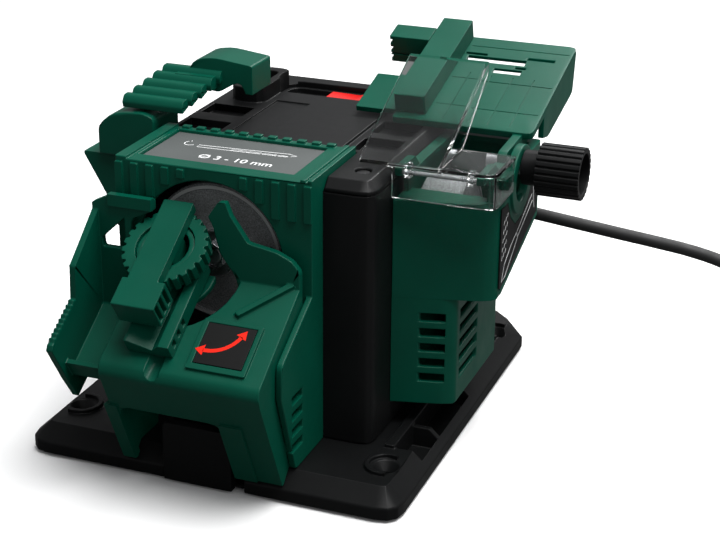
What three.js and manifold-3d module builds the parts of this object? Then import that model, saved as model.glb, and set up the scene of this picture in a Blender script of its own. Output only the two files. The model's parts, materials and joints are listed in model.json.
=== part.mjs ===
// A bench sharpening station: a motor in a black housing drives a drill grinding wheel at the
// front, a chisel wheel under a clear guard at the right and a knife wheel at the left.
// Millimetres, +X right, +Y away from the user, +Z up. The machine is laid out from the base
// plate's front edge (y = 0) and then moved so that its origin is at the bottom centre.
import * as THREE from 'three';
import { mergeVertices } from 'three/addons/utils/BufferGeometryUtils.js';
import Module from 'manifold-3d';

const wasm = await Module();
wasm.setup();

// ---- driving dimensions ------------------------------------------------------------------

const GAP = 0.3; // between touching pieces
const WALL = 3; // of the plastic mouldings

const BASE = { left: -105, right: 100, back: 241.5, bottom: 1.5, edge: 8, deck: 16, inset: 8.6 };
const HOUSING = { left: -66, right: 70, front: 44, back: 210, top: 150, radius: 8 };
const COVER = { bottom: HOUSING.top + GAP, top: 156.5, bevel: 4.5 };
const PANEL = { left: -31.6, right: 36, back: 193, top: 158 };
const CASING = { left: -61.4, right: 44, front: 30, tray_back: 88, top: 158.5 };
const BULKHEAD = { front: 53, back: 59 };

const SHAFT = { x: -10.7, z: 113, radius: 5 }; // the main shaft, along Y
const CROSS_Y = 112; // where the side shafts leave the main shaft
const GEAR = { outer: 20, inner: 12, teeth: 18 };
const BEARING = { bore: SHAFT.radius + GAP, outer: 11 };

const SLOPE = { y: 20.2, z: 104, tilt: 33 }; // the drill guide's sloping top, for a 118 degree point
const SWIVEL = { x: -26, s: 3.4 }; // the drill holder's pivot on the slope
const RING = { radius: 22, hole: 15.1, low: 12.4, high: 20.9, knurls: 26 };

const STATION = { left: HOUSING.right + GAP, right: 121.5, waist: 102.3, low: 29.5, step: 88.5, top: 152 };
const WHEEL_ROOM = { front: 86, back: 150 }; // the opening over the chisel wheel
const TABLE = { y: 139.8, z: 161.1, tilt: 15.5, left: 45, right: 121.5, length: 89, thick: 4 };
const KNOB = { y: 118, z: 149.6, radius: 13.5, ribs: 24 };
const GUARD = { hinge_y: 70.4, hinge_z: 156.2, thick: 2, front_top: 160.8, tilt: 25 };

const LEFT_HUB = { left: -98, right: HOUSING.left - GAP, radius: 26 };
const DRAWER = { left: -24.6, right: 12.9, front: -0.5, back: 100, low: 4, high: 32 };

const CORD = { radius: 3.5, y: 198 };
const COIL = { x: 378, y: 151.7, mean: 39, half_width: 11.5, height: 14.5 };

// ---- materials ---------------------------------------------------------------------------

const finish = (color, roughness, metalness = 0, more = {}) => () =>
  new THREE.MeshStandardMaterial({ color, roughness, metalness, ...more });
const green = finish(0x04553f, 0.42);
const black = finish(0x1d1f20, 0.5);
const rubber = finish(0x121212, 0.9);
const grey = finish(0x86888a, 0.45);
const dark = finish(0x101213, 0.4);
const stone = finish(0x8d9092, 0.9);
const steel = finish(0xb4b6b8, 0.3, 1);
const brass = finish(0xb8893c, 0.35, 1);
const copper = finish(0xb0612f, 0.4, 1);
const red = finish(0xd01818, 0.35);
const clear = finish(0xdfe9e6, 0.08, 0, { transparent: true, opacity: 0.3 });

// ---- shapes ------------------------------------------------------------------------------

function block([x0, x1], [y0, y1], [z0, z1]) {
  return new THREE.BoxGeometry(x1 - x0, y1 - y0, z1 - z0)
    .translate((x0 + x1) / 2, (y0 + y1) / 2, (z0 + z1) / 2);
}

// An outline whose points are [a, b] or, with a rounded corner, [a, b, radius].
function outline(points, segments = 3) {
  const shape = new THREE.Shape();
  const count = points.length;
  points.forEach(([a, b, radius = 0], i) => {
    const here = new THREE.Vector2(a, b);
    const before = new THREE.Vector2(...points[(i + count - 1) % count].slice(0, 2));
    const after = new THREE.Vector2(...points[(i + 1) % count].slice(0, 2));
    const start = here.clone().add(before.sub(here).normalize().multiplyScalar(radius));
    const end = here.clone().add(after.sub(here).normalize().multiplyScalar(radius));
    const steps = radius > 0 ? segments : 0;
    for (let k = 0; k <= steps; k++) {
      const t = steps ? k / steps : 0;
      const x = (1 - t) ** 2 * start.x + 2 * t * (1 - t) * here.x + t ** 2 * end.x;
      const y = (1 - t) ** 2 * start.y + 2 * t * (1 - t) * here.y + t ** 2 * end.y;
      if (i === 0 && k === 0) shape.moveTo(x, y);
      else shape.lineTo(x, y);
    }
  });
  return shape;
}

function extruded(shape, from, to) {
  return new THREE.ExtrudeGeometry(shape, { depth: to - from, bevelEnabled: false, curveSegments: 1 })
    .translate(0, 0, from);
}

const AXES = {
  x: new THREE.Matrix4().makeBasis(
    new THREE.Vector3(0, 1, 0), new THREE.Vector3(0, 0, 1), new THREE.Vector3(1, 0, 0)),
  y: new THREE.Matrix4().makeBasis(
    new THREE.Vector3(0, 0, 1), new THREE.Vector3(1, 0, 0), new THREE.Vector3(0, 1, 0)),
};

// An outline in (y, z) run along X, one in (x, z) run along Y, and one in (x, y) run along Z.
const alongX = (points, [from, to]) => extruded(outline(points), from, to).applyMatrix4(AXES.x);
const alongY = (points, [from, to]) =>
  extruded(outline(points.map(([x, z, radius]) => [z, x, radius])), from, to).applyMatrix4(AXES.y);
const alongZ = (points, [from, to]) => extruded(outline(points), from, to);

// A round bar from a to b whose radius changes from r to end.
function rod(a, b, r, sides = 20, end = r) {
  const [from, to] = [new THREE.Vector3(...a), new THREE.Vector3(...b)];
  const line = to.clone().sub(from);
  const turn = new THREE.Quaternion().setFromUnitVectors(
    new THREE.Vector3(0, 1, 0), line.clone().normalize());
  return new THREE.CylinderGeometry(end, r, line.length(), sides)
    .applyQuaternion(turn)
    .translate(...from.add(to).multiplyScalar(0.5).toArray());
}

const rodX = (y, z, r, [from, to], sides, end) => rod([from, y, z], [to, y, z], r, sides, end);
const rodY = (x, z, r, [from, to], sides, end) => rod([x, from, z], [x, to, z], r, sides, end);
const rodZ = (x, y, r, [from, to], sides, end) => rod([x, y, from], [x, y, to], r, sides, end);

// A profile of [radius, height] points turned about the Z axis.
function turned(profile, sides) {
  const points = profile.map(([r, z]) => new THREE.Vector2(r, z));
  return new THREE.LatheGeometry(points, sides).rotateX(Math.PI / 2);
}

// A gear-like star outline about the origin: tip and root radii, and the share of tips.
function star(count, tip, root, share, turn = 0) {
  const points = [];
  for (let i = 0; i < count; i++) {
    const at = (i + turn) * 2 * Math.PI / count;
    const half = share * Math.PI / count;
    const corners = [[root, -1.7], [tip, -1], [tip, 1], [root, 1.7]];
    for (const [r, side] of corners) {
      const angle = at + half * side;
      points.push([r * Math.cos(angle), r * Math.sin(angle)]);
    }
  }
  return points;
}

// Moves a shape made flat on the sloping top (x, s up the slope, h above it) into place.
const slopeMatrix = new THREE.Matrix4().makeTranslation(0, SLOPE.y, SLOPE.z)
  .multiply(new THREE.Matrix4().makeRotationX(THREE.MathUtils.degToRad(SLOPE.tilt)));
const onSlope = geometry => geometry.applyMatrix4(slopeMatrix);
const tableMatrix = new THREE.Matrix4().makeTranslation(0, TABLE.y, TABLE.z)
  .multiply(new THREE.Matrix4().makeRotationX(THREE.MathUtils.degToRad(TABLE.tilt)));
const onTable = geometry => geometry.applyMatrix4(tableMatrix);

// ---- booleans ----------------------------------------------------------------------------

function solid(geometry) {
  if (!geometry.isBufferGeometry) return geometry;
  geometry.deleteAttribute('normal');
  geometry.deleteAttribute('uv');
  const merged = mergeVertices(geometry, 1e-4);
  const index = [];
  for (let i = 0; i < merged.index.count; i += 3) {
    const [a, b, c] = [0, 1, 2].map(k => merged.index.getX(i + k));
    if (a !== b && b !== c && c !== a) index.push(a, b, c);
  }
  return new wasm.Manifold(new wasm.Mesh({
    numProp: 3,
    vertProperties: Float32Array.from(merged.attributes.position.array),
    triVerts: Uint32Array.from(index),
  }));
}

const join = (first, ...rest) => rest.reduce((sum, next) => sum.add(solid(next)), solid(first));
const cut = (first, ...rest) => rest.reduce((sum, next) => sum.subtract(solid(next)), solid(first));
const common = (a, b) => solid(a).intersect(solid(b));

function geometryOf(body) {
  const mesh = solid(body).getMesh();
  const geometry = new THREE.BufferGeometry();
  geometry.setAttribute('position', new THREE.BufferAttribute(Float32Array.from(mesh.vertProperties), 3));
  geometry.setIndex(Array.from(mesh.triVerts));
  geometry.computeVertexNormals();
  return geometry;
}

const machine = new THREE.Group();

function part(name, body, material) {
  const mesh = new THREE.Mesh(geometryOf(body), material());
  mesh.name = name;
  machine.add(mesh);
  return mesh;
}

// ---- base plate, feet and swarf drawer ---------------------------------------------------

const baseOutline = [
  [BASE.left, 0, 12], [BASE.right, 0, 12], [BASE.right, 219], [84, BASE.back], [BASE.left + 15, BASE.back],
  [BASE.left, 219],
];
const screwPlaces = [[84, 28], [-89, 31], [88, 203], [-93, 203]];
const footPlaces = [[-76, 34], [59, 34], [-76, 208], [59, 208]];

function basePlate() {
  const height = BASE.deck - BASE.edge;
  const bevelled = new THREE.ExtrudeGeometry(outline(baseOutline), {
    depth: height, bevelThickness: height, bevelSize: BASE.inset, bevelOffset: -BASE.inset,
    bevelSegments: 1, curveSegments: 1,
  });
  let plate = common(
    bevelled,
    block([-200, 200], [-50, 300], [BASE.bottom, BASE.deck]));
  plate = cut(plate, block([-92, 72], [13, 229], [0, 12]));
  plate = join(plate, ...footPlaces.map(([x, y]) => rodZ(x, y, 10, [BASE.bottom, 13], 12)));
  plate = cut(plate, ...footPlaces.map(([x, y]) => rodZ(x, y, 7.8, [0, 5.3], 12)));
  // The channel that the drawer slides in, with a floor under it.
  plate = cut(plate, block([-25, 19], [-5, 105], [0, 20]));
  plate = join(
    plate,
    block([-27, 21], [4, 108], [BASE.bottom, 3.5]),
    block([-28, -25], [4, 108], [BASE.bottom, 15]),
    block([19, 22], [4, 108], [BASE.bottom, 15]));
  // The ridge beside the right station, and the deep pockets outside it.
  plate = join(plate, block([76.5, 82], [46, 128], [15, 18]));
  plate = cut(plate, block([82, 96], [48, 73], [5, 20]), block([82, 96], [76.5, 126], [5, 20]));
  // Raised crescents round the countersunk screw holes.
  const middle = (BASE.left + BASE.right) / 2;
  for (const [x, y] of screwPlaces) {
    const side = x > middle ? -1 : 1;
    const crescent = cut(
      rodZ(x, y, 11, [15, 18], 18),
      rodZ(x, y, 8.5, [14, 19], 18),
      block([x - 8.5 - 11.5 * side, x + 8.5 - 11.5 * side], [y - 20, y + 20], [14, 19]));
    plate = join(plate, crescent);
    plate = cut(plate, turned([[0, -1], [3, -1], [3, 11], [7, 16], [7, 20], [0, 20]], 14).translate(x, y, 0));
  }
  return plate;
}

part('base_plate', basePlate(), black);
footPlaces.forEach(([x, y], i) => {
  part(`rubber_foot_${i + 1}`, rodZ(x, y, 7.4, [0, 5], 12), rubber);
});

const drawerFront = [[DRAWER.left, 1.8], [DRAWER.right, 1.8], [DRAWER.right, 34, 3], [DRAWER.left, 34, 3]];
part('swarf_drawer', cut(
  join(
    block([DRAWER.left, DRAWER.right], [DRAWER.front, DRAWER.back], [DRAWER.low, DRAWER.high]),
    alongY(drawerFront, [DRAWER.front - 1, 3.5])),
  block([DRAWER.left + 2, DRAWER.right - 2], [6, DRAWER.back - 2], [DRAWER.low + 2, DRAWER.high + 5]),
), black);

// ---- motor housing and its cover ---------------------------------------------------------

const housingOutline = [
  [HOUSING.left, HOUSING.front, HOUSING.radius], [HOUSING.right, HOUSING.front, HOUSING.radius],
  [HOUSING.right, HOUSING.back, HOUSING.radius], [HOUSING.left, HOUSING.back, HOUSING.radius],
];
const coverScrews = [[57.5, 63], [57.5, 197]];

function motorHousing() {
  const foot = BASE.deck + GAP;
  let body = alongZ(housingOutline, [foot, HOUSING.top]);
  body = cut(
    body,
    block([HOUSING.left + WALL, HOUSING.right - WALL], [BULKHEAD.back, HOUSING.back - WALL], [10, 160]),
    block([CASING.left + 3.4, 40.4], [40, BULKHEAD.front], [10, 160]),
    block([44, HOUSING.right - WALL], [HOUSING.front + WALL, BULKHEAD.front], [10, 160]),
    block([DRAWER.left - 1, 20], [50, 62], [10, DRAWER.high + 4]));
  // Bosses that hold the bearings, and posts for the cover's screws.
  body = join(
    body,
    rodY(SHAFT.x, SHAFT.z, 15, [199, 208], 20),
    rodX(CROSS_Y, SHAFT.z, 15, [59, 68], 20),
    rodX(CROSS_Y, SHAFT.z, 15, [-64, -56], 20),
    ...coverScrews.map(([x, y]) => block([x - 5, HOUSING.right - 1], [y - 5, y + 5], [118, HOUSING.top])));
  return cut(
    body,
    rodY(SHAFT.x, SHAFT.z, BEARING.outer + GAP, [50, 62], 20),
    rodY(SHAFT.x, SHAFT.z, BEARING.outer + GAP, [190, 207], 20),
    rodX(CROSS_Y, SHAFT.z, BEARING.outer + GAP, [50, 67.5], 20),
    rodX(CROSS_Y, SHAFT.z, SHAFT.radius + 1, [60, 75], 20),
    rodX(CROSS_Y, SHAFT.z, BEARING.outer + GAP, [-63.5, -50], 20),
    rodX(CROSS_Y, SHAFT.z, SHAFT.radius + 1, [-70, -60], 20),
    ...coverScrews.map(([x, y]) => rodZ(x, y, 2.2, [130, 152], 10)),
    ...[0, 1, 2, 3, 4, 5].map(i => block([-45 + 13 * i, -38 + 13 * i], [200, 215], [34, 74])));
}

function topCover() {
  const { top, bottom, bevel } = COVER;
  const bevelled = new THREE.ExtrudeGeometry(outline(housingOutline), {
    depth: 10, bevelThickness: bevel, bevelSize: bevel, bevelOffset: -bevel,
    bevelSegments: 1, curveSegments: 1,
  }).translate(0, 0, top - bevel - 10);
  let cover = common(bevelled, block([-100, 100], [0, 300], [bottom, top + 1]));
  cover = join(
    cover,
    block([PANEL.left, PANEL.right], [80, PANEL.back], [153, PANEL.top]),
    alongZ([[-54, 146, 8], [-34, 146, 8], [-34, 190, 8], [-54, 190, 8]], [153, 165]));
  return cut(
    cover,
    block([CASING.left - GAP, CASING.right + GAP], [40, CASING.tray_back + GAP], [140, 170]),
    block([-27.5, -8], [93, 152], [PANEL.top - 0.8, 170]),
    alongZ([[-36.2, 168.8, 9], [28.2, 168.8, 9], [28.2, 191.2, 9], [-36.2, 191.2, 9]], [140, 154]),
    alongZ([[-36.2, 168.8, 9], [28.2, 168.8, 9], [28.2, 191.2, 9], [-36.2, 191.2, 9]], [140, 170]),
    block([-59, -35], [92, 109], [152.5, 170]),
    block([-59, -35], [121, 138], [152.5, 170]),
    block([40, 62], [92, 112], [152.5, 170]),
    block([40, 62], [120, 140], [152.5, 170]),
    alongZ([[-49, 153, 4.5], [-39, 153, 4.5], [-39, 183, 4.5], [-49, 183, 4.5]], [158, 170]),
    ...coverScrews.map(([x, y]) => rodZ(x, y, 1.9, [140, 160], 10)),
    ...coverScrews.map(([x, y]) => rodZ(x, y, 4.3, [153.2, 160], 12)));
}

part('motor_housing', motorHousing(), black);
part('top_cover', topCover(), black);
coverScrews.forEach(([x, y], i) => {
  part(`cover_screw_${i + 1}`, join(
    rodZ(x, y, 1.5, [132, 153.6], 8),
    rodZ(x, y, 3.6, [153.5, 155.6], 10)), steel);
});

// ---- switch ------------------------------------------------------------------------------

const ROCKER = { x: 7, z: 152.5, left: -9, right: 23, front: 172.6, back: 187.4 };
part('switch_body', cut(
  join(
    alongZ([[-35.8, 169.2, 9], [27.8, 169.2, 9], [27.8, 190.8, 9], [-35.8, 190.8, 9]], [148, 155]),
    block([-12, 26], [171, 189], [143, 149])),
  alongZ([[-32.8, 172.2, 6], [24.8, 172.2, 6], [24.8, 187.8, 6], [-32.8, 187.8, 6]], [152, 160]),
  block([-9.6, 23.6], [172.2, 187.8], [145, 160]),
), black);
part('power_rocker', alongY([
  [ROCKER.left + 1.5, 148], [ROCKER.x, 146], [ROCKER.right, 151], [ROCKER.right, 160, 1.5],
  [ROCKER.x + 1, 155], [ROCKER.left, 155.4, 1],
], [ROCKER.front, ROCKER.back]), red);

// ---- front casing with its label tray ----------------------------------------------------

function frontCasing() {
  const { left, right, front, tray_back, top } = CASING;
  const deck = BASE.deck + GAP;
  const wallBack = HOUSING.front - GAP;
  let body = alongX([
    [front, deck], [wallBack, deck], [wallBack, COVER.bottom], [tray_back, COVER.bottom],
    [tray_back, top], [front, top],
  ], [left, right]);
  body = cut(body, block([left + WALL, right - WALL], [front + WALL, 60], [10, HOUSING.top + 1]));
  // The right cheek that follows the slope forward, with four vents.
  body = join(body, alongX([
    [wallBack, deck], [wallBack, 101], [front, 100], [-7.7, 78.8, 3], [-8.5, 62], [7.8, 16.9], [10, deck],
  ], [40.7, right]));
  body = cut(
    body,
    ...[0, 1, 2, 3].map(i => block([38, 50], [4, 17], [27 + 8.6 * i, 31.6 + 8.6 * i])));
  // The arch that the wheel looks out of, open below for the swarf.
  body = cut(
    body,
    rodY(SHAFT.x, SHAFT.z, 39.5, [20, 33.5], 40),
    block([SHAFT.x - 34, 37], [20, 33.5], [10, 96]));
  // Ribs on the front band, rails on the tray and a row of bumps on its rear edge.
  const pitch = (right - left - 4) / 12;
  for (let i = 0; i <= 12; i++) {
    const x = left + pitch * i;
    const arch = Math.sqrt(Math.max(0, 42 ** 2 - (x + 2 - SHAFT.x) ** 2));
    const low = Math.max(138, SHAFT.z + arch);
    if (low < 153) body = join(body, block([x, x + 4], [front - 1.4, front + 0.5], [low, top - 1.5]));
  }
  body = join(
    body,
    block([left, left + 6], [front, tray_back], [top - 1, top + 1.2]),
    block([right - 6.2, right], [front, tray_back], [top - 1, top + 1.2]));
  for (let i = 0; i < 11; i++) {
    const x = -52 + 8.1 * i;
    body = join(body, block([x, x + 4.6], [tray_back - 3.6, tray_back], [top - 1, top + 1.4]));
  }
  return cut(
    body,
    block([right - 3.6, right - 2.4], [front - 1, tray_back + 1], [top, top + 2]),
    block([-53.2, 30.4], [39.7, 83.2], [155.2, 165]));
}

part('front_casing', frontCasing(), green);
part('drill_label_plate', block([-52.9, 30.1], [40, 82.9], [155.5, 157]), grey);

// ---- drill guide -------------------------------------------------------------------------

// A point of the slope's section as [y, z], s up the slope and h above it.
function sloped(s, h) {
  const tilt = THREE.MathUtils.degToRad(SLOPE.tilt);
  return [
    SLOPE.y + s * Math.cos(tilt) - h * Math.sin(tilt),
    SLOPE.z + s * Math.sin(tilt) + h * Math.cos(tilt),
  ];
}

const GUIDE = { left: -44.5, right: 40.3, back: 26.9, low: 16.6 };

// The saw-edged stretch of the tray's cheek, as [y, z].
function cheekTeeth() {
  const [top, foot, count] = [[-4, 93.4], [-26, 79.6], 9];
  const points = [];
  for (let i = 0; i < count; i++) {
    const y = top[0] + (foot[0] - top[0]) * (i + 0.5) / count;
    const z = top[1] + (foot[1] - top[1]) * (i + 0.5) / count;
    points.push([y - 0.2, z + 1.7], [y - 0.9, z - 0.5]);
  }
  return points;
}

function drillGuide() {
  const rear = (GUIDE.back - SLOPE.y) / Math.cos(THREE.MathUtils.degToRad(SLOPE.tilt));
  const block_outline = [
    sloped(rear, 0), [...sloped(-55, 0), 2], [-27.5, 69, 2], [-0.5, 10.6], [1.2, 10.6],
    [7.4, GUIDE.low], [GUIDE.back, GUIDE.low],
  ];
  const outer = solid(alongX(block_outline, [GUIDE.left, GUIDE.right]));
  const inside = [
    sloped(24, -4), sloped(-50, -4), [-22.6, 69], [2.4, 13.8], [4, 8], [45, 8],
  ];
  let body = cut(outer, alongX(inside, [GUIDE.left + WALL, GUIDE.right - WALL]));
  // The round well that the drill holder turns in, and its floor.
  const well = (r, from, to, sides = 32) => onSlope(rodZ(SWIVEL.x, SWIVEL.s, r, [from, to], sides));
  const wellFloor = join(well(20, -6, -3, 28), onSlope(block([-37, -15], [-36, 0], [-6, -3])));
  body = cut(body, well(35, -16, 30));
  body = join(body, common(wellFloor, alongX(block_outline, [GUIDE.left + 1, GUIDE.right])));
  // The swarf arch between the two feet, and the left foot's flare.
  body = cut(body, alongY([[-40, 5], [-40, 47, 6], [15, 47, 6], [15, 5]], [-40, 30]));
  const footFront = [[-19, 48], [-1.6, 10.2], [1, 10.2], [2, 14.5], [-10, 48]];
  body = join(body, alongX(footFront, [GUIDE.left - 2.5, GUIDE.left + 4.5]));
  body = join(body, alongX(footFront, [15, 27]));
  // The wedge platform for the label and the scallop in the front edge.
  body = join(body, onSlope(alongZ(
    [[0, -50, 1], [31, -50, 1], [31, -21, 1], [0, -21, 1]], [-1, 1.6])));
  body = cut(body, onSlope(alongZ(
    [[2.7, -46.8], [28.6, -46.8], [28.6, -23.2], [2.7, -23.2]], [0.7, 3])));
  body = cut(body, onSlope(rod([-16, -60, 1.5], [-16, -44, 1.5], 4.5, 14)));
  // The left tray with its outer cheek.
  body = join(
    body,
    onSlope(block([-70, GUIDE.left + 1], [-50, -5], [-23, -20])),
    onSlope(block([-70, GUIDE.left + 1], [-52, -49.5], [-23, -12])),
    alongX([
      [26.9, 136], [-2, 111, 1], [-3, 94], ...cheekTeeth(), [-27, 79], [-28, 76, 1], [-15, 55], [-6, 42],
      [20, 58], [26.9, 70],
    ], [-72, -68.5]));
  // The plate behind: a ribbed pad at the left, and an ear and a fin at the right.
  const plate = [23, GUIDE.back];
  const leftPlate = cut(
    alongY([
      [-72, 80], [-72, 136, 1], [-62, 141, 1], [-38, 141, 1], [-38, 135.5, 1], [-50, 130, 3], [-52, 112, 6],
      [-46, 100], [-43, 96], [-43, 79],
    ], plate),
    alongY([[-54, 130], [-67, 118], [-66.5, 113], [-54, 113]], [20, 30]));
  const pad = block([-62, -38], [21, 25], [136, 142]);
  const rightPlate = alongY([
    [GUIDE.right, 96], [GUIDE.right, 115, 2], [36, 120, 2], [28, 123.5, 2], [13, 126, 1], [4, 139],
    [1.5, 145.5, 1], [-2.5, 145, 1], [-8, 137, 1], [-5.5, 132], [-2, 118, 4], [6, 108, 3], [9.5, 96],
  ], plate);
  body = join(body, leftPlate, pad, rightPlate);
  // The rim of the well and the diagonal ridge that runs to the right ear.
  body = join(body, onSlope(alongZ([[13, -16], [16, -18], [38, 4], [35, 6]], [-1, 2.4])));
  return body;
}

part('drill_guide_body', drillGuide(), green);
part('swivel_label', onSlope(alongZ(
  [[3, -46.5], [28.3, -46.5], [28.3, -23.5], [3, -23.5]], [1, 1.7])), dark);

// ---- drill holder: V jaw on a pivot, clamp ring and upper jaw -----------------------------

const jawSection = [[-32, 0.6], [-8, 0.6], [-8, 9], [-13.5, 9], [-18, 4.2], [-30, 9.5], [-32, 9.5]];
function lowerJaw() {
  const { x, s } = SWIVEL;
  const bar = cut(
    alongY(jawSection, [-46, 6]),
    ...[0, 1, 2].map(i => block([-10, 0], [-42 + 6 * i, -39 + 6 * i], [2.6, 7])));
  const body = join(
    bar,
    rodZ(x, s, 17, [8, 12.1], 24),
    rodZ(x, s, 14.8, [12, 19.6], 24),
    rodZ(x, s, 7, [-2.7, 1], 16));
  return cut(body, rodZ(x, s, 12, [9.2, 30], 24));
}

function clampRing() {
  const { x, s } = SWIVEL;
  const knurled = alongZ(star(RING.knurls, RING.radius, RING.radius - 1.8, 0.5), [RING.low, RING.high])
    .translate(x, s, 0);
  return cut(knurled, rodZ(x, s, RING.hole, [0, 30], 24));
}

function upperJaw() {
  const body = join(
    block([-34, -18], [-30, 27], [RING.high + GAP, 26.5]),
    block([-37, -14], [-37, -21], [12, 26.5]),
    block([-32.6, -19.4], [-4.4, 11.2], [10.6, 22]));
  return cut(body, ...[0, 1, 2].map(i => block([-17, -12], [-35.6 + 4.8 * i, -32.8 + 4.8 * i], [14, 25])));
}

// These three are modelled flat and stand in a group that lies on the slope.
const holder = new THREE.Group();
holder.position.set(0, SLOPE.y, SLOPE.z);
holder.rotation.x = THREE.MathUtils.degToRad(SLOPE.tilt);
machine.add(holder);
holder.add(part('drill_jaw_lower', lowerJaw(), green));
holder.add(part('clamp_ring', clampRing(), green));
holder.add(part('drill_jaw_upper', upperJaw(), green));

// ---- main shaft with the drill wheel, motor and bevel pinion ------------------------------

const washer = (x, z, outer, inner, [from, to], sides = 20) =>
  cut(rodY(x, z, outer, [from, to], sides), rodY(x, z, inner, [from - 1, to + 1], 16));
const washerX = (outer, inner, [from, to], sides = 20) => cut(
  rodX(CROSS_Y, SHAFT.z, outer, [from, to], sides),
  rodX(CROSS_Y, SHAFT.z, inner, [from - 1, to + 1], 16));
const fit = SHAFT.radius + GAP;

// A bevel gear about +Z whose teeth run to the origin, from z = inner to z = outer.
function bevelGear(turn) {
  const { inner, outer, teeth } = GEAR;
  const profile = star(teeth, 1.055, 0.9, 0.36, turn).map(([a, b]) => [a * outer, b * outer]);
  const geometry = alongZ(profile, [inner, outer]);
  const place = geometry.attributes.position;
  for (let i = 0; i < place.count; i++) {
    const scale = place.getZ(i) / outer;
    place.setXY(i, place.getX(i) * scale, place.getY(i) * scale);
  }
  return cut(geometry, rodZ(0, 0, fit, [0, 40], 16));
}

function gearAt(towards, turn) {
  const frame = new THREE.Matrix4().makeBasis(
    new THREE.Vector3().crossVectors(new THREE.Vector3(0, 0, 1), towards),
    new THREE.Vector3(0, 0, 1), towards).setPosition(SHAFT.x, CROSS_Y, SHAFT.z);
  const mesh = geometryOf(bevelGear(turn));
  return mesh.applyMatrix4(frame);
}

part('main_shaft', rodY(SHAFT.x, SHAFT.z, SHAFT.radius, [32, 206], 16), steel);
part('drill_wheel', washer(SHAFT.x, SHAFT.z, 36, fit, [37, 49], 48), stone);
part('wheel_flange', washer(SHAFT.x, SHAFT.z, 12, fit, [34.7, 36.7]), steel);
part('wheel_nut', washer(SHAFT.x, SHAFT.z, 7.5, fit, [31, 34.4], 6), steel);
part('bevel_pinion', gearAt(new THREE.Vector3(0, 1, 0), 0), steel);
part('cooling_fan', cut(
  alongY(star(9, 25, 14, 0.45).map(([a, b]) => [a + SHAFT.x, b + SHAFT.z]), [134, 139]),
  rodY(SHAFT.x, SHAFT.z, fit, [130, 145], 16)), grey);
part('rotor', washer(SHAFT.x, SHAFT.z, 20, fit, [142, 184], 24), copper);
part('commutator', washer(SHAFT.x, SHAFT.z, 10, fit, [186, 195], 20), brass);
part('front_bearing', washer(SHAFT.x, SHAFT.z, BEARING.outer, fit, [BULKHEAD.front, BULKHEAD.back]), steel);
part('rear_bearing', washer(SHAFT.x, SHAFT.z, BEARING.outer, fit, [199, 206.5]), steel);

const STATOR = { half: 28, bore: 20.6 };
part('stator', cut(
  alongY([
    [SHAFT.x - STATOR.half, SHAFT.z - STATOR.half, 9], [SHAFT.x + STATOR.half, SHAFT.z - STATOR.half, 9],
    [SHAFT.x + STATOR.half, SHAFT.z + STATOR.half, 9], [SHAFT.x - STATOR.half, SHAFT.z + STATOR.half, 9],
  ], [144, 182]),
  rodY(SHAFT.x, SHAFT.z, STATOR.bore, [140, 190], 24),
), steel);
for (const [side, from] of [['left', -34], ['right', 10.4]]) {
  const reach = [SHAFT.x + from, SHAFT.x + from + 23.6];
  part(`brush_holder_${side}`, block(reach, [187, 194], [SHAFT.z - 4, SHAFT.z + 4]), brass);
}

// ---- side shafts -------------------------------------------------------------------------

part('right_shaft', rodX(CROSS_Y, SHAFT.z, SHAFT.radius, [0, 104], 16), steel);
part('right_gear', gearAt(new THREE.Vector3(1, 0, 0), 0.5), steel);
part('right_bearing', washerX(BEARING.outer, fit, [59.5, 67.2]), steel);
part('chisel_wheel', washerX(30, fit, [75.5, 97], 48), stone);
part('chisel_wheel_flange', washerX(13, fit, [97.3, 99.3]), steel);
part('chisel_wheel_nut', washerX(7.5, fit, [99.6, 103.6], 6), steel);
part('left_shaft', rodX(CROSS_Y, SHAFT.z, SHAFT.radius, [-94, -21.4], 16), steel);
part('left_gear', gearAt(new THREE.Vector3(-1, 0, 0), 0.5), steel);
part('left_bearing', washerX(BEARING.outer, fit, [-63.2, -56.5]), steel);
part('knife_wheel', washerX(22, fit, [-89.6, -77], 32), stone);
part('knife_wheel_nut', washerX(7.5, fit, [-93.6, -90], 6), steel);

// ---- right station -----------------------------------------------------------------------

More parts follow.
